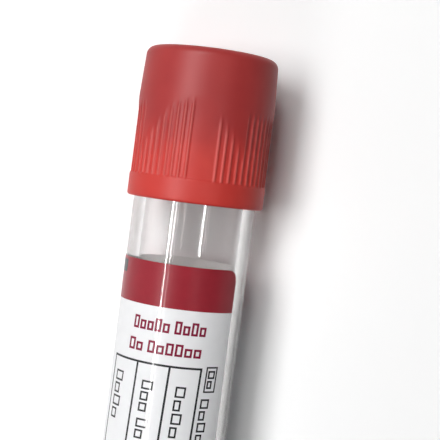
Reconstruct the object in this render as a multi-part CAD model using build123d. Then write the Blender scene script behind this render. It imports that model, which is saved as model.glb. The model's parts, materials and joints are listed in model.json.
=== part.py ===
from build123d import *
import os
from math import asin, atan2, cos, degrees, hypot, radians

# A 16 x 100 mm blood collection tube with a pull-off closure, lying on its side.
#
# Pieces: the clear tube, the printed label wrapped round it, the ribbed cap, and the rubber
# stopper held in the cap. Everything is first built upright about the Z axis, with the tip of
# the tube's round bottom at the origin, and is then laid down as the real one lies: on the
# round bottom and on the cap's skirt. Azimuth is measured round the tube from -Y towards +X,
# and azimuth 0 faces straight up when the tube lies on its side.
#
# Lengths are in millimetres and angles in degrees.

# ---- Tube: one clear piece, with an open rim and a hemispherical bottom ----
TUBE_LENGTH = 100.0
TUBE_RADIUS = 8.0
TUBE_WALL = 1.6
RIM_CHAMFER = 0.3

# ---- Cap: one moulded piece that covers the rim and grips the stopper ----
CAP_HEIGHT = 19.4
CAP_OVER_RIM = 4.3          # how far the cap's top stands above the tube's rim
CAP_FOOT_RADIUS = 8.9
CAP_WAIST_RADIUS = 8.85     # where the gently tapered skirt meets the steeper top part
CAP_WAIST_HEIGHT = 13.2
CAP_TOP_RADIUS = 8.55
CAP_TOP_ROUND = 1.1
CAP_FOOT_CHAMFER = 0.35
CAP_BORE_RADIUS = 8.2
CAP_BORE_LEAD_IN = 0.2
CAP_PLATE = 1.6             # thickness of the top plate
COLLAR_BORE_RADIUS = 3.8    # needle hole, through the top plate and a collar under it
COLLAR_WALL = 0.9
COLLAR_DEPTH = 1.4
WELL_CHAMFER = 0.4

# ---- Ribs: left standing between shallow pockets sunk into the cap's side ----
RIB_PITCH = 6.0
RIB_WIDTH = 0.40
RIBS_LEFT_OUT = 3           # at each of the four smooth panels
PANEL_PITCH = 90.0
POCKET_DEPTH = 0.14
POCKET_FOOT = 3.0           # height of the smooth skirt ring below the pockets
POCKET_RAMP = 1.7           # over which a pocket fades out at its top
PLAIN_POCKET_TOP = 12.5
ARCH_POCKET_FOOT = 7.4      # lowest pocket tops, at the two ends of an arch
ARCH_POCKET_TOP = 13.3      # highest pocket tops, at the middle of an arch
ARCH_CENTRE = -12.0         # azimuth of one arch; the other is opposite
ARCH_HALF_SPAN = 47.0

# ---- Stopper: rubber flange on the rim, plug in the bore, neck in the cap's collar ----
FLANGE_RADIUS = 8.1
PLUG_RADIUS = 6.36
PLUG_LENGTH = 6.6
PLUG_LAND = 1.5             # height of the sealing lands at the top and bottom of the plug
PLUG_RELIEF = 0.25
PLUG_LEAD_IN = 0.7
PLUG_HOLLOW_MOUTH = 4.0
PLUG_HOLLOW_ROOF = 3.0
PLUG_HOLLOW_DEPTH = 4.6
NECK_GAP = 0.06             # round the collar, in the stopper's ring groove
NECK_BELOW_TOP = 1.5

# ---- Label: thin film wrapped most of the way round, with rounded corners ----
LABEL_THICKNESS = 0.06
LABEL_TOP_BELOW_CAP = 7.8
LABEL_HEIGHT = 56.0
LABEL_RIGHT_EDGE = 52.0
LABEL_LEFT_EDGE = -268.0
LABEL_CORNER = 1.4

# ---- Every revolved face starts and ends at this azimuth ----
SEAM_AZIMUTH = 87.0

# ---- Worked out from the dimensions above ----
BORE_RADIUS = TUBE_RADIUS - TUBE_WALL
CAP_TOP = TUBE_LENGTH + CAP_OVER_RIM
CAP_FOOT = CAP_TOP - CAP_HEIGHT
PLATE_UNDERSIDE = CAP_TOP - CAP_PLATE
LABEL_TOP = CAP_FOOT - LABEL_TOP_BELOW_CAP


def to_azimuth(angle):
    """The rotation about Z that takes +X to an azimuth."""
    return Rot(0, 0, angle - 90.0)


def revolved(outline, start=SEAM_AZIMUTH, arc=360.0):
    """Turn a closed (radius, height) outline about the Z axis, from an azimuth over an arc."""
    profile = make_face(Plane.XZ * outline)
    return to_azimuth(start) * revolve(profile, axis=Axis.Z, revolution_arc=arc)


def closed_polyline(*points):
    return Polyline(*points, close=True)


def make_tube():
    inner_bottom = (0, TUBE_WALL)
    outer = [
        RadiusArc((0, 0), (TUBE_RADIUS, TUBE_RADIUS), -TUBE_RADIUS),
        Line((TUBE_RADIUS, TUBE_RADIUS), (TUBE_RADIUS, TUBE_LENGTH)),
        Line((TUBE_RADIUS, TUBE_LENGTH), (BORE_RADIUS, TUBE_LENGTH)),
        Line((BORE_RADIUS, TUBE_LENGTH), (BORE_RADIUS, TUBE_RADIUS)),
        RadiusArc((BORE_RADIUS, TUBE_RADIUS), inner_bottom, BORE_RADIUS),
        Line(inner_bottom, (0, 0)),
    ]
    tube = revolved(Curve() + outer)
    rim_edges = tube.edges().filter_by(GeomType.CIRCLE).group_by(Axis.Z)[-1]
    return chamfer(rim_edges, RIM_CHAMFER)


def cap_side_radius(height):
    """Radius of the cap's side, before the pockets, at a height above its foot."""
    if height < CAP_WAIST_HEIGHT:
        share = height / CAP_WAIST_HEIGHT
        return CAP_FOOT_RADIUS + share * (CAP_WAIST_RADIUS - CAP_FOOT_RADIUS)
    share = (height - CAP_WAIST_HEIGHT) / (CAP_HEIGHT - CAP_WAIST_HEIGHT)
    return CAP_WAIST_RADIUS + share * (CAP_TOP_RADIUS - CAP_WAIST_RADIUS)


def make_cap_shell():
    """The cap without its pockets, standing on its foot at the origin."""
    body = revolved(closed_polyline(
        (0, 0),
        (CAP_FOOT_RADIUS, 0),
        (CAP_WAIST_RADIUS, CAP_WAIST_HEIGHT),
        (CAP_TOP_RADIUS, CAP_HEIGHT),
        (0, CAP_HEIGHT),
    ))
    rings = body.edges().filter_by(GeomType.CIRCLE).sort_by(Axis.Z)
    body = fillet(rings[-1], CAP_TOP_ROUND)
    rings = body.edges().filter_by(GeomType.CIRCLE).sort_by(Axis.Z)
    body = chamfer(rings[0], CAP_FOOT_CHAMFER)

    plate_underside = CAP_HEIGHT - CAP_PLATE
    collar_radius = COLLAR_BORE_RADIUS + COLLAR_WALL
    collar_end = plate_underside - COLLAR_DEPTH
    bore_and_needle_hole = revolved(closed_polyline(
        (0, -1),
        (CAP_BORE_RADIUS + CAP_BORE_LEAD_IN + 1, -1),
        (CAP_BORE_RADIUS, CAP_BORE_LEAD_IN),
        (CAP_BORE_RADIUS, plate_underside),
        (collar_radius, plate_underside),
        (collar_radius, collar_end),
        (COLLAR_BORE_RADIUS, collar_end),
        (COLLAR_BORE_RADIUS, CAP_HEIGHT + 1),
        (0, CAP_HEIGHT + 1),
    ))
    shell = body - bore_and_needle_hole
    top_rings = shell.edges().filter_by(GeomType.CIRCLE).group_by(Axis.Z)[-1]
    return chamfer(top_rings.sort_by(SortBy.RADIUS)[0], WELL_CHAMFER)


def rib_azimuths():
    """Ribs every RIB_PITCH, apart from those left out at the middle of each smooth panel."""
    half_panel = RIB_PITCH * (RIBS_LEFT_OUT + 1) / 2
    places = [RIB_PITCH * step for step in range(round(360 / RIB_PITCH))]
    return [a for a in places if half_panel <= a % PANEL_PITCH <= PANEL_PITCH - half_panel]


def pocket_top(azimuth):
    """Height at which the pocket at an azimuth ends: two arches, level tops between them."""
    from_arch = abs((azimuth - ARCH_CENTRE + 90.0) % 180.0 - 90.0)
    if from_arch > ARCH_HALF_SPAN:
        return PLAIN_POCKET_TOP
    rise = cos(radians(90.0 * from_arch / ARCH_HALF_SPAN))
    return ARCH_POCKET_FOOT + rise * (ARCH_POCKET_TOP - ARCH_POCKET_FOOT)


def make_pocket(start, arc):
    """The shallow recess between two ribs, from one azimuth over an arc."""
    top = pocket_top(start + arc / 2)
    ramp_foot = top - POCKET_RAMP
    outside = CAP_FOOT_RADIUS + 1
    return revolved(closed_polyline(
        (cap_side_radius(POCKET_FOOT) - POCKET_DEPTH, POCKET_FOOT),
        (cap_side_radius(ramp_foot) - POCKET_DEPTH, ramp_foot),
        (cap_side_radius(top), top),
        (outside, top),
        (outside, POCKET_FOOT),
    ), start, arc)


def make_cap():
    rib_arc = degrees(RIB_WIDTH / CAP_WAIST_RADIUS)
    ribs = rib_azimuths()
    following = ribs[1:] + [ribs[0] + 360.0]
    pockets = [
        make_pocket(rib + rib_arc / 2, after - rib - rib_arc)
        for rib, after in zip(ribs, following)
    ]
    return Pos(0, 0, CAP_FOOT) * (make_cap_shell() - pockets)


def make_stopper():
    plug_end = TUBE_LENGTH - PLUG_LENGTH
    relief_radius = PLUG_RADIUS - PLUG_RELIEF
    groove_inner = COLLAR_BORE_RADIUS - NECK_GAP
    groove_outer = COLLAR_BORE_RADIUS + COLLAR_WALL + NECK_GAP
    groove_floor = PLATE_UNDERSIDE - COLLAR_DEPTH - NECK_GAP
    neck_top = CAP_TOP - NECK_BELOW_TOP
    body = revolved(closed_polyline(
        (0, plug_end),
        (PLUG_RADIUS - PLUG_LEAD_IN, plug_end),
        (PLUG_RADIUS, plug_end + PLUG_LEAD_IN),
        (PLUG_RADIUS, plug_end + PLUG_LEAD_IN + PLUG_LAND),
        (relief_radius, plug_end + PLUG_LEAD_IN + PLUG_LAND + PLUG_RELIEF),
        (relief_radius, TUBE_LENGTH - PLUG_LAND - PLUG_RELIEF),
        (PLUG_RADIUS, TUBE_LENGTH - PLUG_LAND),
        (PLUG_RADIUS, TUBE_LENGTH),
        (FLANGE_RADIUS, TUBE_LENGTH),
        (FLANGE_RADIUS, PLATE_UNDERSIDE),
        (groove_outer, PLATE_UNDERSIDE),
        (groove_outer, groove_floor),
        (groove_inner, groove_floor),
        (groove_inner, neck_top),
        (0, neck_top),
    ))
    hollow = revolved(closed_polyline(
        (0, plug_end - 1),
        (PLUG_HOLLOW_MOUTH, plug_end - 1),
        (PLUG_HOLLOW_MOUTH, plug_end),
        (PLUG_HOLLOW_ROOF, plug_end + PLUG_HOLLOW_DEPTH),
        (0, plug_end + PLUG_HOLLOW_DEPTH),
    ))
    return body - hollow


def label_corner_offcut(across, up):
    """What rounding takes off a label corner, out along +X; across and up are -1 or 1."""
    side = LABEL_CORNER + LABEL_THICKNESS
    depth = 10 * LABEL_THICKNESS
    square = Pos(0, across * side / 2, up * side / 2) * Box(depth, side, side)
    rounding = Rot(0, 90, 0) * Cylinder(LABEL_CORNER, 2 * depth)
    return Pos(TUBE_RADIUS, 0, 0) * (square - rounding)


def make_label():
    arc = LABEL_RIGHT_EDGE - LABEL_LEFT_EDGE
    outer_radius = TUBE_RADIUS + LABEL_THICKNESS
    bottom = LABEL_TOP - LABEL_HEIGHT
    film = revolved(closed_polyline(
        (TUBE_RADIUS, bottom),
        (outer_radius, bottom),
        (outer_radius, LABEL_TOP),
        (TUBE_RADIUS, LABEL_TOP),
    ), LABEL_LEFT_EDGE, arc)
    corner_arc = degrees(asin(LABEL_CORNER / outer_radius))
    offcuts = [
        Pos(0, 0, height) * to_azimuth(azimuth) * label_corner_offcut(across, up)
        for azimuth, across in (
            (LABEL_LEFT_EDGE + corner_arc, -1),
            (LABEL_RIGHT_EDGE - corner_arc, 1),
        )
        for height, up in ((bottom + LABEL_CORNER, -1), (LABEL_TOP - LABEL_CORNER, 1))
    ]
    return film - offcuts


def lie_angle():
    """How far the cap's end is lifted when the round bottom and the skirt touch the table."""
    along = CAP_FOOT + CAP_FOOT_CHAMFER - TUBE_RADIUS
    skirt_radius = cap_side_radius(CAP_FOOT_CHAMFER)
    return degrees(atan2(skirt_radius, along) - asin(TUBE_RADIUS / hypot(along, skirt_radius)))


def lay_down(pieces):
    """Turn the upright pieces so that the cap points along +Y, and set them on Z = 0."""
    laid = {name: Rot(lie_angle() - 90.0, 0, 0) * piece for name, piece in pieces.items()}
    bounds = Compound(laid.values()).bounding_box()
    shift = Pos(0, -bounds.center().Y, -bounds.min.Z)
    return {name: shift * piece for name, piece in laid.items()}


upright = {
    "tube": make_tube(),
    "label": make_label(),
    "cap": make_cap(),
    "stopper": make_stopper(),
}

os.makedirs("parts", exist_ok=True)
for node, solid in lay_down(upright).items():
    export_step(solid, f"parts/{node}.step")
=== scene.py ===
import json
from math import ceil, cos, degrees, pi, radians, sin, tan

import bpy
from mathutils import Matrix, Vector


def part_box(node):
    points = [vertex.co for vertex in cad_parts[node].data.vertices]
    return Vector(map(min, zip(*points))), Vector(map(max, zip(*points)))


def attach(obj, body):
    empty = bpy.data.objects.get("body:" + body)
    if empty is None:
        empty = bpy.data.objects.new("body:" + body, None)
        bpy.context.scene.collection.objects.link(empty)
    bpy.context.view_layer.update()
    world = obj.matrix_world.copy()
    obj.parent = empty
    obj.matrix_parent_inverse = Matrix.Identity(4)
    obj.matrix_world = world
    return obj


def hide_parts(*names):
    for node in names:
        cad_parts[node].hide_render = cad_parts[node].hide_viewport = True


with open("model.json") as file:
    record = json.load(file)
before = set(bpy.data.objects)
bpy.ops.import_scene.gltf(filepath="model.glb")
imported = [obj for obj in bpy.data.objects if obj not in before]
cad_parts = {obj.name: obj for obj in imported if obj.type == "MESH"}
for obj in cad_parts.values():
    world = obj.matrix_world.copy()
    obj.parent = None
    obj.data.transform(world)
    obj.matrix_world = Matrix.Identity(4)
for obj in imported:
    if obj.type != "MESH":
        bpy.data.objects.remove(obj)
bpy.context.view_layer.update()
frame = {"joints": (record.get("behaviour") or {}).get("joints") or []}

# A clear blood collection tube lying on its side, with a printed label and a ribbed red cap over
# a rubber stopper. Every piece is made upright about the Z axis, with the tip of the tube's
# round bottom at the origin, and its mesh is then laid down as the frame lies. Azimuth is
# measured round the upright tube from -Y towards +X; azimuth 0 faces up once it lies.
#
# Lengths are in metres and angles in degrees.

MM = 0.001
ON_AXIS = 1e-7               # a radius below this is on the axis

# ---- Tube ----
TUBE_LENGTH = 100 * MM
TUBE_RADIUS = 8 * MM
BORE_RADIUS = 6.4 * MM
RIM_ROUND = 0.3 * MM

# ---- Cap: heights are above its foot ----
CAP_HEIGHT = 19.4 * MM
CAP_OVER_RIM = 4.3 * MM
CAP_FOOT_RADIUS = 8.9 * MM
CAP_WAIST_RADIUS = 8.85 * MM
CAP_WAIST_HEIGHT = 13.2 * MM
CAP_TOP_RADIUS = 8.55 * MM
CAP_TOP_ROUND = 1.1 * MM
CAP_FOOT_ROUND = 0.35 * MM
CAP_BORE_RADIUS = 8.2 * MM
CAP_BORE_LEAD_IN = 0.2 * MM
CAP_SIDE_FROM = 8.5 * MM     # what is further out belongs to the side, which carries the ribs
CAP_PLATE = 1.6 * MM
NEEDLE_HOLE_RADIUS = 3.8 * MM
COLLAR_RADIUS = 4.7 * MM
COLLAR_DEPTH = 1.4 * MM
WELL_ROUND = 0.4 * MM
WELL_RING = 1.2 * MM         # width of a flat ring of faces round the rounded edge of the hole

# ---- Ribs on the cap: they stand on the floor of a shallow recess round its side ----
RIB_PITCH = 6.0
RIBS_LEFT_OUT = 3
PANEL_PITCH = 90.0
RIB_CREST = 0.05 * MM        # from a rib's middle to where its flank begins
RIB_FOOT = 0.28 * MM         # from a rib's middle to where its flank ends
RECESS_DEPTH = 0.14 * MM
RECESS_FOOT = 3.0 * MM
RECESS_STEP = 0.3 * MM
RECESS_RAMP = 1.9 * MM
PLAIN_RECESS_TOP = 12.5 * MM
ARCH_RECESS_FOOT = 7.4 * MM
ARCH_RECESS_TOP = 13.3 * MM
ARCH_CENTRE = -12.0
ARCH_HALF_SPAN = 47.0
# The crest attribute also carries the cap's painted highlight along the ribs.
CREST = "rib_crest"          # mesh attribute: 1 along the crests of the ribs

# ---- Stopper ----
FLANGE_RADIUS = 8.1 * MM
PLUG_RADIUS = 6.36 * MM
PLUG_LENGTH = 6.6 * MM
PLUG_RELIEF = 0.25 * MM
PLUG_LAND = 1.5 * MM
PLUG_LEAD_IN = 0.7 * MM
PLUG_SHOULDER_IN = 0.2 * MM
PLUG_SHOULDER_DOWN = 0.3 * MM
PLUG_HOLLOW_MOUTH = 4.0 * MM
PLUG_HOLLOW_ROOF = 3.0 * MM
PLUG_HOLLOW_DEPTH = 4.6 * MM
PLUG_ROOF_BEVEL = 0.4 * MM
PLUG_MOUTH_BEVEL = 0.1 * MM
NECK_GAP = 0.06 * MM
NECK_BELOW_TOP = 1.5 * MM
NECK_BEVEL = 0.15 * MM

# ---- Label: distances down are from the cap's foot ----
FILM_INNER = 8.01 * MM
FILM_OUTER = 8.06 * MM
LABEL_TOP = 7.8 * MM
LABEL_BOTTOM = 63.8 * MM
LABEL_RIGHT = 52.0
LABEL_LEFT = -268.0
LABEL_CORNER = 1.4 * MM
BAND_BOTTOM = 13.25 * MM
SHEET_STEP = 2.0             # degrees between two edges of a sheet round the tube

# ---- Print: azimuths are those at the height of the table's top line ----
PRINT_INNER = 8.056 * MM     # a little inside the film, so that no gap shows
PRINT_OUTER = 8.07 * MM
PRINT_LEAN = 250.0           # degrees a metre that the print drifts round as it goes down
PRINT_STEP = 4 * MM          # the longest part of a mark between two edges that lean
TABLE_TOP = 20.3 * MM
TABLE_BOTTOM = 60.6 * MM
TABLE_COLUMNS = (-70.0, -36.5, -5.6, 23.3)
LINE_WIDTH = 0.27 * MM
MAROON_STROKE = 0.28 * MM
BLACK_STROKE = 0.23 * MM
FRAME_STROKE = 0.2 * MM
HOLLOW_FROM = 2.75           # least width of a hollow box, in strokes
# No word is printed: a row of plain boxes is in its place, in two heights
TALL = 1.0
SHORT = 0.72
ROW_OF_TWO = (TALL, SHORT)
ROW_OF_THREE = (TALL, SHORT, SHORT)
ROW_OF_FOUR = (TALL, SHORT, TALL, SHORT)
ROW_OF_FIVE = (TALL, SHORT, SHORT, TALL, SHORT)
ROW_OF_SIX = (TALL, SHORT, TALL, TALL, SHORT, SHORT)
BOX_GAP = 0.22               # between two boxes, in box widths
ROW_GAP = 0.75               # between two rows on one line, in box widths

# ---- Camera ----
CAMERA_LENS = 90.2           # mm, on a sensor 36 mm wide
CAMERA_AIM_ACROSS = 3.579 * MM
CAMERA_AIM_ALONG = 83.008 * MM
CAMERA_DISTANCE = 144.3 * MM
CAMERA_LEAN_ACROSS = -2.712
CAMERA_LEAN_ALONG = 2.246
CAMERA_ROLL = 7.314

# ---- Soft lamps: how far each leans off the vertical, its size, and its share of the light on a
# level surface. At a total of 1, with the fill, a colour shows as written. ----
KEY = {"across": -27.5, "along": 7, "width": 0.14, "length": 0.34, "share": 0.58}
SOFT = {"across": -15, "along": 28, "width": 0.14, "length": 0.26, "share": 0.25}
LOW = {"across": -27, "along": -38, "width": 0.16, "length": 0.16, "share": 0.08}
SHEEN = {"across": -27.5, "along": 32, "width": 0.14, "length": 0.14, "share": 0.70}
SOFTBOX_DISTANCE = 0.6
FILL_SHARE = 0.065

# ---- Thin lamps that show as bright lines in gloss ----
STRIP_LEFT = {"across": -39.5, "along": 0, "width": 0.009, "length": 0.4, "brightness": 210}
STRIP_LEFT_2 = {"across": -33.0, "along": 0, "width": 0.008, "length": 0.4, "brightness": 45}
STRIP_RIGHT = {"across": 18.8, "along": 1.83, "width": 0.014, "length": 0.1162, "brightness": 80}
STRIP_DISTANCE = 0.5

# ---- Floor and backdrop ----
FLOOR_HALF = 3.0
SHADOW_ENDS = 0.065          # from here on the floor turns into the plain white background,
BACKDROP_STARTS = 0.15       # which it is from here on
ROOM_IN_GLOSS = 0.25         # how bright the world is overhead and to the right, in gloss

# ---- Worked out from the dimensions above and from the frame ----
CAP_TOP = TUBE_LENGTH + CAP_OVER_RIM
CAP_FOOT = CAP_TOP - CAP_HEIGHT
PLATE_UNDERSIDE = CAP_TOP - CAP_PLATE
ALONG = Vector(frame["joints"][0]["axis"]).normalized()
ACROSS = Vector((1, 0, 0))
OUT = ACROSS.cross(ALONG)
CENTRE_OF_BOTTOM = Vector((0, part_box("tube")[0].y + TUBE_RADIUS, TUBE_RADIUS))
TIP = CENTRE_OF_BOTTOM - ALONG * TUBE_RADIUS
LAID_DOWN = Matrix.Translation(TIP) @ Matrix((ACROSS, -OUT, ALONG)).transposed().to_4x4()


def place(across, out, along):
    """The world point at local offsets across the tube, up out of it, and along it from its tip."""
    return TIP + ACROSS * across + OUT * out + ALONG * along


# ======== Mesh helpers ========

def on_cylinder(radius, azimuth, height):
    """The point at a radius, an azimuth and a height about the upright tube."""
    turn = radians(azimuth)
    return (radius * sin(turn), -radius * cos(turn), height)


def make_piece(name, points, faces, body, materials, face_materials=None, sharp=35.0):
    """A mesh object, laid down with the tube, smooth apart from edges sharper than an angle."""
    mesh = bpy.data.meshes.new(name)
    mesh.from_pydata(points, [], faces)
    mesh.transform(LAID_DOWN)
    for material in materials:
        mesh.materials.append(material)
    if face_materials:
        mesh.polygons.foreach_set("material_index", face_materials)
    mesh.validate()
    mesh.shade_smooth()
    mesh.set_sharp_from_angle(angle=radians(sharp))
    piece = bpy.data.objects.new(name, mesh)
    bpy.context.scene.collection.objects.link(piece)
    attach(piece, body)
    return piece


def lathe(outline, columns):
    """Points and faces of a closed (radius, height) outline, anticlockwise, turned round the axis.

    An outline may start and end on the axis, where a ring shrinks to one point."""
    points, rings = [], []
    for radius, height in outline:
        if radius < ON_AXIS:
            rings.append([len(points)] * columns)
            points.append((0, 0, height))
            continue
        rings.append(list(range(len(points), len(points) + columns)))
        points += [on_cylinder(radius, 360 * c / columns, height) for c in range(columns)]
    return points, [face for a, b in ring_pairs(rings, outline) for face in strip(a, b)]


def ring_pairs(rings, outline):
    """Neighbouring rings; an outline that stays off the axis is closed by its last and first."""
    pairs = list(zip(rings, rings[1:]))
    if outline[0][0] >= ON_AXIS:
        pairs.append((rings[-1], rings[0]))
    return pairs


def strip(lower, upper):
    """Faces between two rings of point numbers, where either ring may be one repeated point."""
    faces = []
    for here, after in zip(range(len(lower)), [*range(1, len(lower)), 0]):
        corners = [lower[here], lower[after], upper[after], upper[here]]
        face = [p for i, p in enumerate(corners) if p != corners[i - 1]]
        if len(face) > 2:
            faces.append(face)
    return faces


def arc(centre, radius, start, end, steps):
    """Points on an arc in the (radius, height) plane, from a start angle to an end angle."""
    turns = [radians(start + (end - start) * i / steps) for i in range(steps + 1)]
    return [(centre[0] + radius * cos(t), centre[1] + radius * sin(t)) for t in turns]


def between(start, end, steps):
    """Numbers from start to end in equal steps, both ends included."""
    return [start + (end - start) * i / steps for i in range(steps + 1)]


def smooth_step(value, start, end):
    """0 up to the start, 1 from the end on, and eased in between."""
    share = min(max((value - start) / (end - start), 0.0), 1.0)
    return share * share * (3 - 2 * share)


# ======== Node helpers ========

def new_material(name):
    """A material that has nothing but a Principled shader on its output."""
    material = bpy.data.materials.new(name)
    material.use_nodes = True
    tree = material.node_tree
    tree.nodes.clear()
    output = tree.nodes.new("ShaderNodeOutputMaterial")
    shader = tree.nodes.new("ShaderNodeBsdfPrincipled")
    tree.links.new(shader.outputs["BSDF"], output.inputs["Surface"])
    return material, tree, shader


def upright_position(tree, stretch=(1, 1, 1)):
    """Position about the upright tube, in metres, divided by how far a pattern is stretched."""
    coordinates = tree.nodes.new("ShaderNodeTexCoord")
    mapping = tree.nodes.new("ShaderNodeMapping")
    mapping.vector_type = "TEXTURE"
    mapping.inputs["Location"].default_value = TIP
    mapping.inputs["Rotation"].default_value = LAID_DOWN.to_euler()
    mapping.inputs["Scale"].default_value = stretch
    tree.links.new(coordinates.outputs["Object"], mapping.inputs["Vector"])
    return mapping.outputs["Vector"]


def noise(tree, position, scale, detail=3.0, roughness=0.5):
    """Procedural noise from 0 to 1, with its scale in cells a metre."""
    node = tree.nodes.new("ShaderNodeTexNoise")
    node.inputs["Scale"].default_value = scale
    node.inputs["Detail"].default_value = detail
    node.inputs["Roughness"].default_value = roughness
    tree.links.new(position, node.inputs["Vector"])
    return node.outputs["Fac"]


def map_range(tree, value, start, end, to_start=0.0, to_end=1.0, kind="LINEAR"):
    """A value's place between a start and an end, held to 0 to 1 or to the range that is given."""
    node = tree.nodes.new("ShaderNodeMapRange")
    node.interpolation_type = kind
    node.inputs["From Min"].default_value = start
    node.inputs["From Max"].default_value = end
    node.inputs["To Min"].default_value = to_start
    node.inputs["To Max"].default_value = to_end
    tree.links.new(value, node.inputs["Value"])
    return node.outputs["Result"]


def maths(tree, operation, first, second):
    """One of Blender's two-value maths operations, on two sockets."""
    node = tree.nodes.new("ShaderNodeMath")
    node.operation = operation
    tree.links.new(first, node.inputs[0])
    tree.links.new(second, node.inputs[1])
    return node.outputs["Value"]


def mix_colours(tree, share, first, second):
    """A colour between two, each of them a socket or a plain colour."""
    node = tree.nodes.new("ShaderNodeMix")
    node.data_type = "RGBA"
    tree.links.new(share, node.inputs["Factor"])
    colour_a, colour_b, result = node.inputs[6], node.inputs[7], node.outputs[2]
    for socket, colour in ((colour_a, first), (colour_b, second)):
        if isinstance(colour, tuple):
            socket.default_value = (*colour, 1)
        else:
            tree.links.new(colour, socket)
    return result


def add_bump(tree, shader, height, distance, strength=1.0, coat=False):
    """Fine relief on a shader's surface, and on its coat where asked."""
    node = tree.nodes.new("ShaderNodeBump")
    node.inputs["Distance"].default_value = distance
    node.inputs["Strength"].default_value = strength
    tree.links.new(height, node.inputs["Height"])
    tree.links.new(node.outputs["Normal"], shader.inputs["Normal"])
    if coat:
        tree.links.new(node.outputs["Normal"], shader.inputs["Coat Normal"])


def show_mix(tree, share, first, second):
    """Puts a mix of two shaders on a tree's output."""
    choice = tree.nodes.new("ShaderNodeMixShader")
    tree.links.new(share, choice.inputs["Fac"])
    tree.links.new(first, choice.inputs[1])
    tree.links.new(second, choice.inputs[2])
    output = next(node for node in tree.nodes if node.type.startswith("OUTPUT"))
    tree.links.new(choice.outputs["Shader"], output.inputs["Surface"])


def ray_is(tree, kind):
    """1 for rays of one kind, such as Is Camera Ray."""
    return tree.nodes.new("ShaderNodeLightPath").outputs[kind]


def height_of(tree, position):
    """Height above the tube's tip, along its axis."""
    node = tree.nodes.new("ShaderNodeSeparateXYZ")
    tree.links.new(position, node.inputs["Vector"])
    return node.outputs["Z"]


def radius_of(tree, position):
    """Distance from the tube's axis."""
    flat = tree.nodes.new("ShaderNodeVectorMath")
    flat.operation = "MULTIPLY"
    flat.inputs[1].default_value = (1, 1, 0)
    length = tree.nodes.new("ShaderNodeVectorMath")
    length.operation = "LENGTH"
    tree.links.new(position, flat.inputs[0])
    tree.links.new(flat.outputs["Vector"], length.inputs[0])
    return length.outputs["Value"]


# ======== Materials ========

def clear_plastic():
    """Clear moulded tube: glass-like, faintly wavy along its length, lets lamps shine through.

    Its colour carries painted shade where it is seen edge on, darkest on the outside, past the bore's
    outline."""
    material, tree, shader = new_material("tube_clear")
    edge = tree.nodes.new("ShaderNodeLayerWeight")
    edge.inputs["Blend"].default_value = 0.5
    facing = edge.outputs["Facing"]
    in_wall = map_range(tree, radius_of(tree, upright_position(tree)), BORE_RADIUS, TUBE_RADIUS)
    # Painted shade: the glass's colour is darkened where it is seen edge on, and darker still on the
    # outside past the bore's outline.
    edge_shade_share = map_range(tree, facing, 0.30, 0.85, kind="SMOOTHSTEP")
    past_bore_shade_share = maths(
        tree, "MULTIPLY", map_range(tree, facing, 0.40, 0.52, kind="SMOOTHSTEP"), in_wall)
    face_on = (0.89, 0.88, 0.88)
    edge_on_painted_shade = (0.46, 0.45, 0.45)
    past_bore_painted_shade = (0.36, 0.355, 0.35)
    tint = mix_colours(tree, edge_shade_share, face_on, edge_on_painted_shade)
    tree.links.new(mix_colours(tree, past_bore_shade_share, tint, past_bore_painted_shade), shader.inputs["Base Color"])
    shader.inputs["Transmission Weight"].default_value = 1.0
    shader.inputs["Roughness"].default_value = 0.0
    shader.inputs["IOR"].default_value = 1.5
    waves = noise(tree, upright_position(tree, (1, 1, 8)), 900.0, detail=2.0)
    add_bump(tree, shader, waves, 0.01 * MM, strength=0.015)

    # What the lamps' light loses at the bore and at the outside, which makes the tube's shadow
    at_bore = (0.27, 0.255, 0.25)
    at_outside = (0.95, 0.94, 0.94)
    lamp_light = tree.nodes.new("ShaderNodeBsdfTransparent")
    tree.links.new(mix_colours(tree, in_wall, at_bore, at_outside), lamp_light.inputs["Color"])
    show_mix(
        tree, ray_is(tree, "Is Shadow Ray"), shader.outputs["BSDF"], lamp_light.outputs["BSDF"])
    return material


def rim_plastic():
    """The tube's rim, a little frosted by its mould, pale where the wall is seen end on."""
    material, tree, shader = new_material("tube_rim")
    frost = noise(tree, upright_position(tree), 3000.0)
    tint = mix_colours(tree, frost, (0.80, 0.81, 0.81), (0.70, 0.71, 0.71))
    tree.links.new(tint, shader.inputs["Base Color"])
    shader.inputs["Transmission Weight"].default_value = 0.35
    shader.inputs["Roughness"].default_value = 0.3
    shader.inputs["IOR"].default_value = 1.5
    return material


def cap_plastic():
    """Moulded red plastic: brighter low down over the clear tube, darker over the grey stopper, with a
    painted highlight along the ribs' crests.
    """
    material, tree, shader = new_material("cap_red")
    position = upright_position(tree)
    cloud = noise(tree, position, 260.0, detail=2.0)
    darkens_from = CAP_FOOT + 5.3 * MM
    dark_from = CAP_FOOT + 13.2 * MM
    uneven = map_range(tree, cloud, 0.0, 1.0, 0.0, 3.0 * MM)
    raised = maths(tree, "ADD", height_of(tree, position), uneven)
    backed = map_range(tree, raised, darkens_from, dark_from, kind="SMOOTHSTEP")
    bright = mix_colours(tree, cloud, (0.60, 0.052, 0.040), (0.53, 0.034, 0.028))
    dark = mix_colours(tree, cloud, (0.41, 0.040, 0.038), (0.33, 0.028, 0.028))
    moulded = mix_colours(tree, backed, bright, dark)
    # Painted highlight: the crests of the ribs are mixed towards a paler red.
    crest = tree.nodes.new("ShaderNodeAttribute")
    crest.attribute_name = CREST
    crest_painted_highlight = map_range(tree, crest.outputs["Fac"], 0.3, 1.0, 0.0, 0.36)
    tree.links.new(
        mix_colours(tree, crest_painted_highlight, moulded, (0.62, 0.14, 0.12)), shader.inputs["Base Color"])
    shader.inputs["Roughness"].default_value = 0.46
    shader.inputs["Specular IOR Level"].default_value = 0.19
    satin = noise(tree, upright_position(tree, (1, 1, 2)), 5200.0, detail=3.0)
    add_bump(tree, shader, satin, 0.012 * MM, strength=0.35)
    return material


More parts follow.
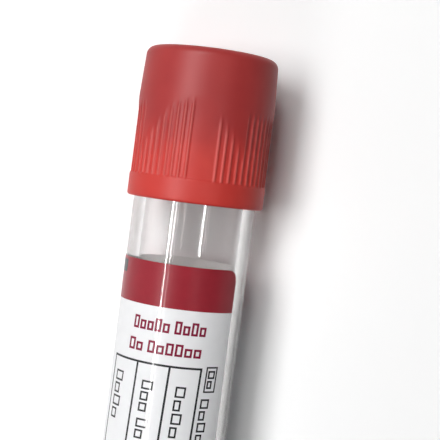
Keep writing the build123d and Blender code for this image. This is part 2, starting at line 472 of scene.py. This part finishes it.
def printed_film(name, light_colour, dark_colour):
    """Glossy label film in one colour of print, with a faint mottle and a slightly uneven gloss."""
    material, tree, shader = new_material(name)
    position = upright_position(tree)
    mottle = noise(tree, position, 700.0, detail=4.0)
    tree.links.new(mix_colours(tree, mottle, light_colour, dark_colour), shader.inputs["Base Color"])
    shader.inputs["Roughness"].default_value = 0.35
    shader.inputs["Specular IOR Level"].default_value = 0.1
    shader.inputs["Coat Weight"].default_value = 0.28
    shader.inputs["Coat Roughness"].default_value = 0.05
    shader.inputs["Coat IOR"].default_value = 1.5
    ripple = noise(tree, position, 4200.0, detail=3.0)
    add_bump(tree, shader, ripple, 0.01 * MM, strength=0.13, coat=True)
    return material


def stopper_rubber():
    """Matt grey rubber, finely speckled."""
    material, tree, shader = new_material("stopper_rubber")
    position = upright_position(tree)
    speckle = noise(tree, position, 2500.0, detail=5.0, roughness=0.65)
    tint = mix_colours(tree, speckle, (0.10, 0.085, 0.08), (0.062, 0.052, 0.05))
    tree.links.new(tint, shader.inputs["Base Color"])
    shader.inputs["Roughness"].default_value = 0.72
    add_bump(tree, shader, speckle, 0.03 * MM, strength=0.5)
    return material


# ======== Pieces ========

def make_tube(clear, rim_finish):
    """The tube, with a second material on the faces of its rounded rim."""
    inner_tip = TUBE_RADIUS - BORE_RADIUS
    rim = TUBE_LENGTH - RIM_ROUND
    bottom_centre = (0, TUBE_RADIUS)
    outline = arc(bottom_centre, TUBE_RADIUS, -90, 0, 40)
    outline += [(TUBE_RADIUS, h) for h in between(TUBE_RADIUS, rim, 24)[1:-1]]
    outline += arc((TUBE_RADIUS - RIM_ROUND, rim), RIM_ROUND, 0, 90, 5)
    outline += arc((BORE_RADIUS + RIM_ROUND, rim), RIM_ROUND, 90, 180, 5)
    outline += [(BORE_RADIUS, h) for h in between(rim, TUBE_RADIUS, 24)[1:-1]]
    outline += arc(bottom_centre, BORE_RADIUS, 0, -90, 36)
    outline[0] = (0, 0)
    outline[-1] = (0, inner_tip)
    points, faces = lathe(outline, 256)
    slack = 0.001 * MM
    is_rim = [int(min(points[p][2] for p in face) > rim - slack) for face in faces]
    tube = make_piece(
        "tube_clear", points, faces, "tube_body", [clear, rim_finish],
        face_materials=is_rim, sharp=60)
    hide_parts("tube")


def cap_side_radius(height):
    """The smooth side's radius at a height above the cap's foot: a slight taper, then a stronger."""
    if height < CAP_WAIST_HEIGHT:
        return CAP_FOOT_RADIUS + height / CAP_WAIST_HEIGHT * (CAP_WAIST_RADIUS - CAP_FOOT_RADIUS)
    share = (height - CAP_WAIST_HEIGHT) / (CAP_HEIGHT - CAP_WAIST_HEIGHT)
    return CAP_WAIST_RADIUS + share * (CAP_TOP_RADIUS - CAP_WAIST_RADIUS)


def recess_top(azimuth):
    """Height at which the recess fades out: two arches, level between them."""
    from_arch = abs((azimuth - ARCH_CENTRE + 90.0) % 180.0 - 90.0)
    if from_arch > ARCH_HALF_SPAN:
        return PLAIN_RECESS_TOP
    rise = cos(radians(90.0 * from_arch / ARCH_HALF_SPAN))
    return ARCH_RECESS_FOOT + rise * (ARCH_RECESS_TOP - ARCH_RECESS_FOOT)


def rib_share(azimuth):
    """1 on the crest of a rib, 0 on the floor between ribs and on the smooth panels."""
    step = round(azimuth / RIB_PITCH)
    half_panel = RIB_PITCH * (RIBS_LEFT_OUT + 1) / 2
    within = step * RIB_PITCH % PANEL_PITCH
    if not half_panel <= within <= PANEL_PITCH - half_panel:
        return 0.0
    distance = abs(radians(azimuth - step * RIB_PITCH)) * CAP_WAIST_RADIUS
    return 1 - smooth_step(distance, RIB_CREST, RIB_FOOT)


def recess_share(azimuth, height):
    """1 where the recess has its full depth, 0 outside it."""
    top = recess_top(azimuth)
    opened = smooth_step(height, RECESS_FOOT - RECESS_STEP / 2, RECESS_FOOT + RECESS_STEP / 2)
    faded = smooth_step(height, top - RECESS_RAMP, top)
    return opened * (1 - faded)


def cap_outline():
    """The cap's closed section as (radius, height above its foot)."""
    top_side = cap_side_radius(CAP_HEIGHT - CAP_TOP_ROUND)
    plate_underside = CAP_HEIGHT - CAP_PLATE
    collar_end = plate_underside - COLLAR_DEPTH
    foot_side = cap_side_radius(CAP_FOOT_ROUND)
    outline = arc((foot_side - CAP_FOOT_ROUND, CAP_FOOT_ROUND), CAP_FOOT_ROUND, -90, 0, 4)
    heights = between(CAP_FOOT_ROUND, RECESS_FOOT - RECESS_STEP, 3)[1:]
    heights += between(RECESS_FOOT - RECESS_STEP, RECESS_FOOT + RECESS_STEP, 8)[1:]
    heights += between(RECESS_FOOT + RECESS_STEP, ARCH_RECESS_TOP + RECESS_STEP, 44)[1:]
    heights += between(ARCH_RECESS_TOP + RECESS_STEP, CAP_HEIGHT - CAP_TOP_ROUND, 6)[1:-1]
    outline += [(cap_side_radius(h), h) for h in heights]
    outline += arc((top_side - CAP_TOP_ROUND, CAP_HEIGHT - CAP_TOP_ROUND), CAP_TOP_ROUND, 0, 90, 8)
    outline += [(NEEDLE_HOLE_RADIUS + WELL_ROUND + WELL_RING, CAP_HEIGHT)]
    outline += arc(
        (NEEDLE_HOLE_RADIUS + WELL_ROUND, CAP_HEIGHT - WELL_ROUND), WELL_ROUND, 90, 180, 4)
    outline += [
        (NEEDLE_HOLE_RADIUS, plate_underside),
        (NEEDLE_HOLE_RADIUS, collar_end),
        (COLLAR_RADIUS, collar_end),
        (COLLAR_RADIUS, plate_underside),
        (CAP_BORE_RADIUS, plate_underside),
        (CAP_BORE_RADIUS, CAP_WAIST_HEIGHT),
        (CAP_BORE_RADIUS, CAP_BORE_LEAD_IN),
        (CAP_BORE_RADIUS + CAP_BORE_LEAD_IN, 0),
    ]
    return outline


def make_cap(material):
    """The cap: a turned section, whose side is then sunk between the ribs."""
    columns = 720
    outline = cap_outline()
    points, faces = lathe([(r, CAP_FOOT + h) for r, h in outline], columns)
    crests = [0.0] * len(points)
    for ring, (radius, height) in enumerate(outline):
        if radius < CAP_SIDE_FROM or height > ARCH_RECESS_TOP + RECESS_STEP:
            continue
        for column in range(columns):
            azimuth = 360 * column / columns
            recess = recess_share(azimuth, height)
            rib = rib_share(azimuth)
            depth = RECESS_DEPTH * recess * (1 - rib)
            point = ring * columns + column
            points[point] = on_cylinder(radius - depth, azimuth, CAP_FOOT + height)
            crests[point] = recess * rib
    cap = make_piece("cap_red", points, faces, "closure", [material], sharp=50)
    cap.data.attributes.new(CREST, "FLOAT", "POINT").data.foreach_set("value", crests)
    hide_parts("cap")


def make_stopper(material):
    """The stopper: a hollow plug, a flange over the rim, and a neck up through the cap's collar."""
    plug_end = TUBE_LENGTH - PLUG_LENGTH
    land_top = plug_end + PLUG_LEAD_IN + PLUG_LAND
    relief_radius = PLUG_RADIUS - PLUG_RELIEF
    neck_radius = NEEDLE_HOLE_RADIUS - NECK_GAP
    groove_radius = COLLAR_RADIUS + NECK_GAP
    groove_floor = PLATE_UNDERSIDE - COLLAR_DEPTH - NECK_GAP
    neck_top = CAP_TOP - NECK_BELOW_TOP
    outline = [
        (0, plug_end + PLUG_HOLLOW_DEPTH),
        (PLUG_HOLLOW_ROOF - PLUG_ROOF_BEVEL, plug_end + PLUG_HOLLOW_DEPTH),
        (PLUG_HOLLOW_ROOF, plug_end + PLUG_HOLLOW_DEPTH - PLUG_ROOF_BEVEL),
        (PLUG_HOLLOW_MOUTH, plug_end + PLUG_MOUTH_BEVEL),
        (PLUG_HOLLOW_MOUTH + PLUG_MOUTH_BEVEL, plug_end),
        (PLUG_RADIUS - PLUG_LEAD_IN, plug_end),
        (PLUG_RADIUS - PLUG_SHOULDER_IN, plug_end + PLUG_LEAD_IN - PLUG_SHOULDER_DOWN),
        (PLUG_RADIUS, plug_end + PLUG_LEAD_IN),
        (PLUG_RADIUS, land_top),
        (relief_radius, land_top + PLUG_RELIEF),
        (relief_radius, TUBE_LENGTH - PLUG_LAND - PLUG_RELIEF),
        (PLUG_RADIUS, TUBE_LENGTH - PLUG_LAND),
        (PLUG_RADIUS, TUBE_LENGTH),
        (FLANGE_RADIUS, TUBE_LENGTH),
        (FLANGE_RADIUS, PLATE_UNDERSIDE),
        (groove_radius, PLATE_UNDERSIDE),
        (groove_radius, groove_floor),
        (neck_radius, groove_floor),
        (neck_radius, neck_top - NECK_BEVEL),
        (neck_radius - NECK_BEVEL, neck_top),
        (0, neck_top),
    ]
    points, faces = lathe(outline, 128)
    stopper = make_piece(
        "stopper_rubber", points, faces, "closure", [material], sharp=30)
    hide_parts("stopper")


# ======== Label and print ========

def sheet(left, right, top, bottom, corner, inner, outer, breaks=()):
    """Points and faces of a thin curved sheet with rounded corners, closed all round.

    left and right are azimuths, top and bottom are distances below the cap's foot, and breaks are
    more such distances at which the sheet gets a row of edges. Each face's own distance is given
    as well."""
    columns = max(1, ceil((right - left) / SHEET_STEP))
    turns = between(0, 90, 5) if corner else [0, 90]
    drops = [corner * (1 - cos(radians(t))) for t in turns] if corner else [0]
    rows = [top + d for d in drops] + sorted(breaks) + [bottom - d for d in reversed(drops)]
    rows = sorted(set(rows))
    points = []
    for radius in (outer, inner):
        for row in rows:
            into = corner - min(row - top, bottom - row, corner)
            inset = degrees((corner - (corner**2 - into**2) ** 0.5) / outer)
            for azimuth in between(left + inset, right - inset, columns):
                points.append(on_cylinder(radius, azimuth, CAP_FOOT - row))
    width = columns + 1
    layer = width * len(rows)
    faces, levels = [], []
    for r in range(len(rows) - 1):
        level = (rows[r] + rows[r + 1]) / 2
        for c in range(columns):
            a = r * width + c
            faces.append((a, a + width, a + width + 1, a + 1))
            faces.append((layer + a, layer + a + 1, layer + a + width + 1, layer + a + width))
            levels += [level, level]
        first, last = r * width, r * width + columns
        faces.append((first, layer + first, layer + first + width, first + width))
        faces.append((last, last + width, layer + last + width, layer + last))
        levels += [level, level]
    for c in range(columns):
        low = (len(rows) - 1) * width + c
        faces.append((c, c + 1, layer + c + 1, layer + c))
        faces.append((low, layer + low, layer + low + 1, low + 1))
        levels += [top, bottom]
    return points, faces, levels


class Print:
    """Collects the marks of one ink, which become one piece."""

    def __init__(self, stroke):
        self.points, self.faces = [], []
        self.stroke = stroke

    def mark(self, left, right, top, bottom):
        """A patch between two azimuths and two distances down."""
        start = len(self.points)
        rows = max(1, ceil((bottom - top) / PRINT_STEP))
        points, faces, _ = sheet(
            left, right, top, bottom, corner=0, inner=PRINT_INNER, outer=PRINT_OUTER,
            breaks=between(top, bottom, rows)[1:-1])
        self.points += [self.leaned(p) for p in points]
        self.faces += [tuple(start + i for i in face) for face in faces]

    @staticmethod
    def leaned(point):
        """The point turned round the tube by the print's lean at its height."""
        turn = radians(PRINT_LEAN * (point[2] - (CAP_FOOT - TABLE_TOP)))
        x, y, z = point
        return (x * cos(turn) - y * sin(turn), x * sin(turn) + y * cos(turn), z)

    def piece(self, name, material):
        """Makes the piece out of the marks that have been collected."""
        make_piece(name, self.points, self.faces, "tube_body", [material])


def arc_degrees(length):
    """How many degrees a length takes up round the label."""
    return degrees(length / FILM_OUTER)


def print_box(ink, left, right, top, bottom):
    """A hollow box drawn with a thin stroke, or one stroke where it is too narrow to be hollow."""
    half = arc_degrees(ink.stroke) / 2
    if right - left < HOLLOW_FROM * 2 * half:
        middle = (left + right) / 2
        ink.mark(middle - half, middle + half, top, bottom)
    elif bottom - top < HOLLOW_FROM * ink.stroke:
        middle = (top + bottom) / 2
        ink.mark(left, right, middle - ink.stroke / 2, middle + ink.stroke / 2)
    else:
        print_frame(ink, left, right, top, bottom, ink.stroke)


def spread(rows, start, end):
    """Where each box of some rows on one line begins and ends, and its height."""
    count = sum(len(row) for row in rows)
    unit = (end - start) / (count + BOX_GAP * (count - len(rows)) + ROW_GAP * (len(rows) - 1))
    at = start
    for row in rows:
        for height in row:
            yield at, at + unit, height
            at += (1 + BOX_GAP) * unit
        at += (ROW_GAP - BOX_GAP) * unit


def print_rows(ink, rows, left, right, base, tallest):
    """Rows of boxes that stand on a base and fill the azimuths from left to right."""
    for near, far, height in spread(rows, left, right):
        print_box(ink, near, far, base - tallest * height, base)


def print_rows_down(ink, rows, foot, top, start, end):
    """Rows of boxes that run down the tube, with their feet at one azimuth and tops at another."""
    for near, far, height in spread(rows, start, end):
        print_box(ink, foot, foot + (top - foot) * height, near, far)


def print_frame(ink, left, right, top, bottom, width):
    """A rectangle of four lines."""
    side = arc_degrees(width)
    ink.mark(left, right, top, top + width)
    ink.mark(left, right, bottom - width, bottom)
    ink.mark(left, left + side, top + width, bottom - width)
    ink.mark(right - side, right, top + width, bottom - width)


def make_label(film, band, back):
    """The film, with its own materials on the band at its top and on the side that is stuck down."""
    breaks = [BAND_BOTTOM, *between(BAND_BOTTOM, LABEL_BOTTOM - LABEL_CORNER, 12)[1:-1]]
    points, faces, levels = sheet(
        LABEL_LEFT, LABEL_RIGHT, LABEL_TOP, LABEL_BOTTOM, LABEL_CORNER, FILM_INNER, FILM_OUTER, breaks)
    inner_from = len(points) // 2
    of_film, of_band, of_back = range(3)
    face_materials = []
    for face, level in zip(faces, levels):
        if min(face) >= inner_from:
            face_materials.append(of_back)
        elif level < BAND_BOTTOM:
            face_materials.append(of_band)
        else:
            face_materials.append(of_film)
    label = make_piece(
        "label_film", points, faces, "tube_body", [film, band, back],
        face_materials=face_materials)
    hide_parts("label")


def make_maroon_print(material):
    """Two lines under the band, each of two rows of boxes."""
    ink = Print(MAROON_STROKE)
    print_rows(
        ink, (ROW_OF_FIVE, ROW_OF_FOUR), left=-46.5, right=23.0, base=16.35 * MM, tallest=1.65 * MM)
    print_rows(
        ink, (ROW_OF_TWO, ROW_OF_SIX), left=-48.5, right=21.5, base=19.1 * MM, tallest=1.55 * MM)
    ink.piece("label_print_maroon", material)


def make_black_print(material):
    """The table with a heading in each of its columns, what stands right of it, and a dark mark."""
    ink = Print(BLACK_STROKE)
    side = arc_degrees(LINE_WIDTH)
    first, last = TABLE_COLUMNS[0], TABLE_COLUMNS[-1] + side
    ink.mark(first, last, TABLE_TOP, TABLE_TOP + LINE_WIDTH)
    ink.mark(first, last, TABLE_BOTTOM, TABLE_BOTTOM + LINE_WIDTH)
    for azimuth in TABLE_COLUMNS:
        ink.mark(azimuth, azimuth + side, TABLE_TOP + LINE_WIDTH, TABLE_BOTTOM)
    print_rows_down(
        ink, (ROW_OF_FOUR,), foot=3.5, top=12.9, start=22.8 * MM, end=29.3 * MM)
    print_rows_down(
        ink, (ROW_OF_THREE, ROW_OF_TWO), foot=-28.0, top=-17.0, start=22.6 * MM, end=30.0 * MM)
    print_rows_down(
        ink, (ROW_OF_FOUR,), foot=-62.5, top=-51.0, start=22.2 * MM, end=28.4 * MM)
    print_frame(
        ink, left=29.5, right=42.0, top=20.1 * MM, bottom=23.4 * MM, width=FRAME_STROKE)
    print_rows_down(
        ink, (ROW_OF_TWO,), foot=32.0, top=39.5, start=20.6 * MM, end=22.9 * MM)
    print_rows_down(
        ink, (ROW_OF_FOUR, ROW_OF_TWO), foot=28.5, top=37.5, start=24.2 * MM, end=33.6 * MM)
    ink.mark(left=-98.0, right=-72.0, top=8.2 * MM, bottom=9.8 * MM)
    ink.piece("label_print_black", material)


# ======== Setting ========

def is_seen(tree):
    """1 for rays that show a surface: from the camera, in a mirror or through glass."""
    mirrored = maths(
        tree, "MAXIMUM", ray_is(tree, "Is Glossy Ray"), ray_is(tree, "Is Transmission Ray"))
    return maths(tree, "MAXIMUM", ray_is(tree, "Is Camera Ray"), mirrored)


def floor_white():
    """Matt white that keeps the shadow and turns into a plain white background further out."""
    material, tree, shader = new_material("floor_white")
    shader.inputs["Roughness"].default_value = 0.9
    shader.inputs["Specular IOR Level"].default_value = 0.0
    seen = is_seen(tree)
    tint = mix_colours(tree, seen, (0.93, 0.93, 0.93), (1.10, 1.10, 1.10))
    tree.links.new(tint, shader.inputs["Base Color"])
    coordinates = tree.nodes.new("ShaderNodeTexCoord")
    distance = radius_of(tree, coordinates.outputs["Object"])
    far = map_range(tree, distance, SHADOW_ENDS, BACKDROP_STARTS, kind="SMOOTHSTEP")
    backdrop = tree.nodes.new("ShaderNodeEmission")
    show_mix(
        tree, maths(tree, "MULTIPLY", seen, far), shader.outputs["BSDF"], backdrop.outputs["Emission"])
    return material


def make_floor():
    """The plain pale surface that the tube lies on."""
    half = FLOOR_HALF
    mesh = bpy.data.meshes.new("floor")
    corners = [(-half, -half, 0), (half, -half, 0), (half, half, 0), (-half, half, 0)]
    mesh.from_pydata(corners, [], [(0, 1, 2, 3)])
    mesh.materials.append(floor_white())
    floor = bpy.data.objects.new("floor", mesh)
    bpy.context.scene.collection.objects.link(floor)


def lean_back(across, along):
    """The direction that leans off the vertical by two angles, across and along the tube."""
    return (ACROSS * tan(radians(across)) + ALONG * tan(radians(along)) + OUT).normalized()


def make_lamp(name, across, along, distance, width, length):
    """A rectangular lamp aimed at the cap's foot from two lean angles off the vertical."""
    back = lean_back(across, along)
    data = bpy.data.lights.new(name, "AREA")
    data.shape = "RECTANGLE"
    data.size = width
    data.size_y = length
    lamp = bpy.data.objects.new(name, data)
    bpy.context.scene.collection.objects.link(lamp)
    right = ALONG.cross(back).normalized()
    up = back.cross(right)
    aim = place(0, 0, CAP_FOOT)
    turned = Matrix((right, up, back)).transposed().to_4x4()
    lamp.matrix_world = Matrix.Translation(aim + back * distance) @ turned
    return lamp


def make_softbox(name, across, along, width, length, share, in_gloss=False):
    """A soft lamp that gives a share of the light on a level surface, or only a sheen in gloss."""
    lamp = make_lamp(name, across, along, SOFTBOX_DISTANCE, width, length)
    slant = lean_back(across, along).dot(OUT)
    lamp.data.energy = share * pi**2 * SOFTBOX_DISTANCE**2 / slant
    lamp.visible_transmission = False
    lamp.visible_diffuse = not in_gloss
    lamp.visible_glossy = in_gloss


def make_strip(name, across, along, width, length, brightness):
    """A long thin lamp that shows as a bright line along glossy plastic and lights nothing else."""
    lamp = make_lamp(name, across, along, STRIP_DISTANCE, width, length)
    lamp.data.energy = brightness * pi * width * length
    lamp.visible_diffuse = False


def seen_strength(tree):
    """White behind the object; in its gloss, a room that is dimmer overhead and to the right."""
    coordinates = tree.nodes.new("ShaderNodeTexCoord")
    direction = tree.nodes.new("ShaderNodeSeparateXYZ")
    tree.links.new(coordinates.outputs["Generated"], direction.inputs["Vector"])
    overhead = map_range(tree, direction.outputs["Z"], 0.15, 0.6, kind="SMOOTHSTEP")
    rightward = map_range(tree, direction.outputs["X"], -0.7, 0.0, kind="SMOOTHSTEP")
    dimmed = maths(tree, "MULTIPLY", ray_is(tree, "Is Glossy Ray"), overhead)
    dimmed = maths(tree, "MULTIPLY", dimmed, rightward)
    return map_range(tree, dimmed, 0.0, 1.0, 1.0, ROOM_IN_GLOSS)


def make_world():
    """Even fill light, which shows as white behind the object."""
    world = bpy.data.worlds.new("studio")
    world.use_nodes = True
    bpy.context.scene.world = world
    tree = world.node_tree
    tree.nodes.clear()
    tree.nodes.new("ShaderNodeOutputWorld")
    fill = tree.nodes.new("ShaderNodeBackground")
    fill.inputs["Color"].default_value = (1, 1, 1, 1)
    fill.inputs["Strength"].default_value = FILL_SHARE
    seen = tree.nodes.new("ShaderNodeBackground")
    seen.inputs["Color"].default_value = (1, 1, 1, 1)
    tree.links.new(seen_strength(tree), seen.inputs["Strength"])
    show_mix(tree, is_seen(tree), fill.outputs["Background"], seen.outputs["Background"])


def make_camera():
    """The photograph's view: nearly straight down on the cap's end of the tube."""
    data = bpy.data.cameras.new("camera")
    data.lens = CAMERA_LENS
    data.sensor_width = 36.0
    data.clip_start = 0.01
    data.clip_end = 20.0
    camera = bpy.data.objects.new("camera", data)
    bpy.context.scene.collection.objects.link(camera)
    back = lean_back(CAMERA_LEAN_ACROSS, CAMERA_LEAN_ALONG)
    right = ALONG.cross(back).normalized()
    up = back.cross(right)
    turned = Matrix((right, up, back)).transposed().to_4x4()
    aim = place(CAMERA_AIM_ACROSS, 0, CAMERA_AIM_ALONG)
    roll = Matrix.Rotation(radians(CAMERA_ROLL), 4, "Z")
    camera.matrix_world = Matrix.Translation(aim + back * CAMERA_DISTANCE) @ turned @ roll
    bpy.context.scene.camera = camera


def main():
    make_tube(clear_plastic(), rim_plastic())
    make_cap(cap_plastic())
    make_stopper(stopper_rubber())
    make_label(
        printed_film("label_white", (0.90, 0.90, 0.91), (0.84, 0.84, 0.86)),
        printed_film("label_band", (0.34, 0.021, 0.034), (0.27, 0.016, 0.027)),
        printed_film("label_back", (0.95, 0.94, 0.93), (0.91, 0.90, 0.89)))
    make_maroon_print(printed_film("ink_maroon", (0.26, 0.010, 0.045), (0.20, 0.008, 0.035)))
    make_black_print(printed_film("ink_black", (0.035, 0.035, 0.038), (0.02, 0.02, 0.022)))
    make_floor()
    make_softbox("key", **KEY)
    make_softbox("soft", **SOFT)
    make_softbox("low", **LOW)
    make_softbox("sheen", **SHEEN, in_gloss=True)
    make_strip("strip_left", **STRIP_LEFT)
    make_strip("strip_left_2", **STRIP_LEFT_2)
    make_strip("strip_right", **STRIP_RIGHT)
    make_world()
    make_camera()
    bpy.context.scene.view_settings.view_transform = "Standard"


main()
